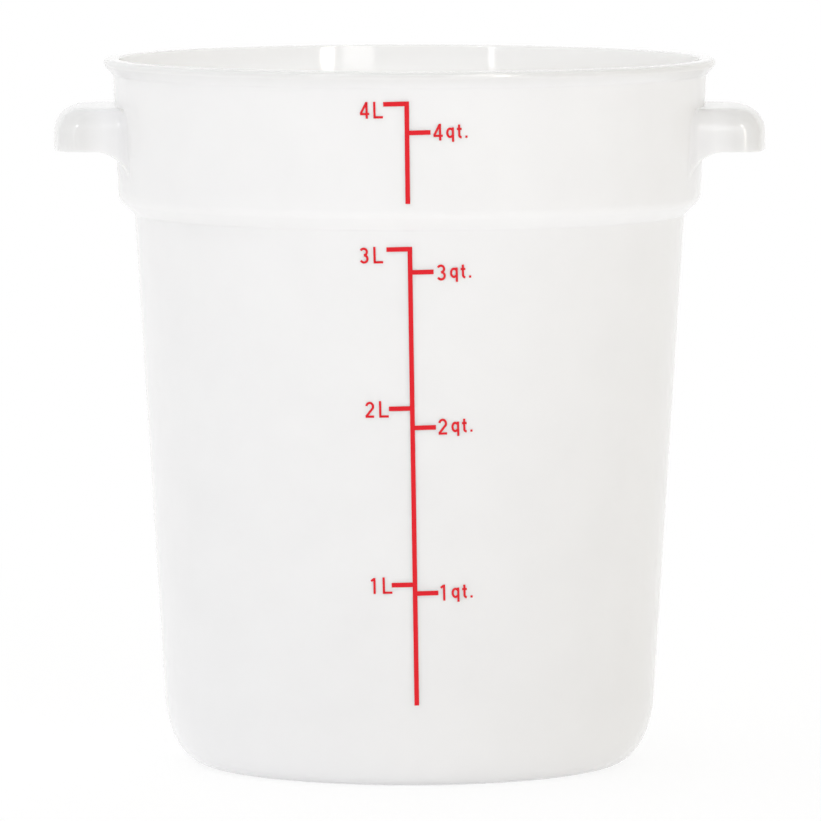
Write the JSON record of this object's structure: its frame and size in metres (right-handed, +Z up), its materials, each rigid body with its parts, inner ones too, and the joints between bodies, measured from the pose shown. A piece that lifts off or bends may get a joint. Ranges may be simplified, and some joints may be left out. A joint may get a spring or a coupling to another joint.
{
  "type": "food storage container",
  "caption": "Round translucent food storage container with a flared rim, a wider upper band, hollow ear handles and a printed scale in litres and quarts.",
  "frame": {"origin": "middle of the underside, in the plane that the foot ring stands on", "axes": "+Z up along the tub's axis, -Y out of the printed scale on the front, the ear handles on +X and -X"},
  "size_m": [0.2182, 0.1874, 0.2167],
  "materials": {
    "polypropylene": "natural, milky translucent, smooth moulded with a soft gloss",
    "scale_ink": "red screen print"
  },
  "bodies": {
    "root": {"tub": "polypropylene", "lower_scale": "scale_ink", "upper_scale": "scale_ink"}
  },
  "joints": []
}
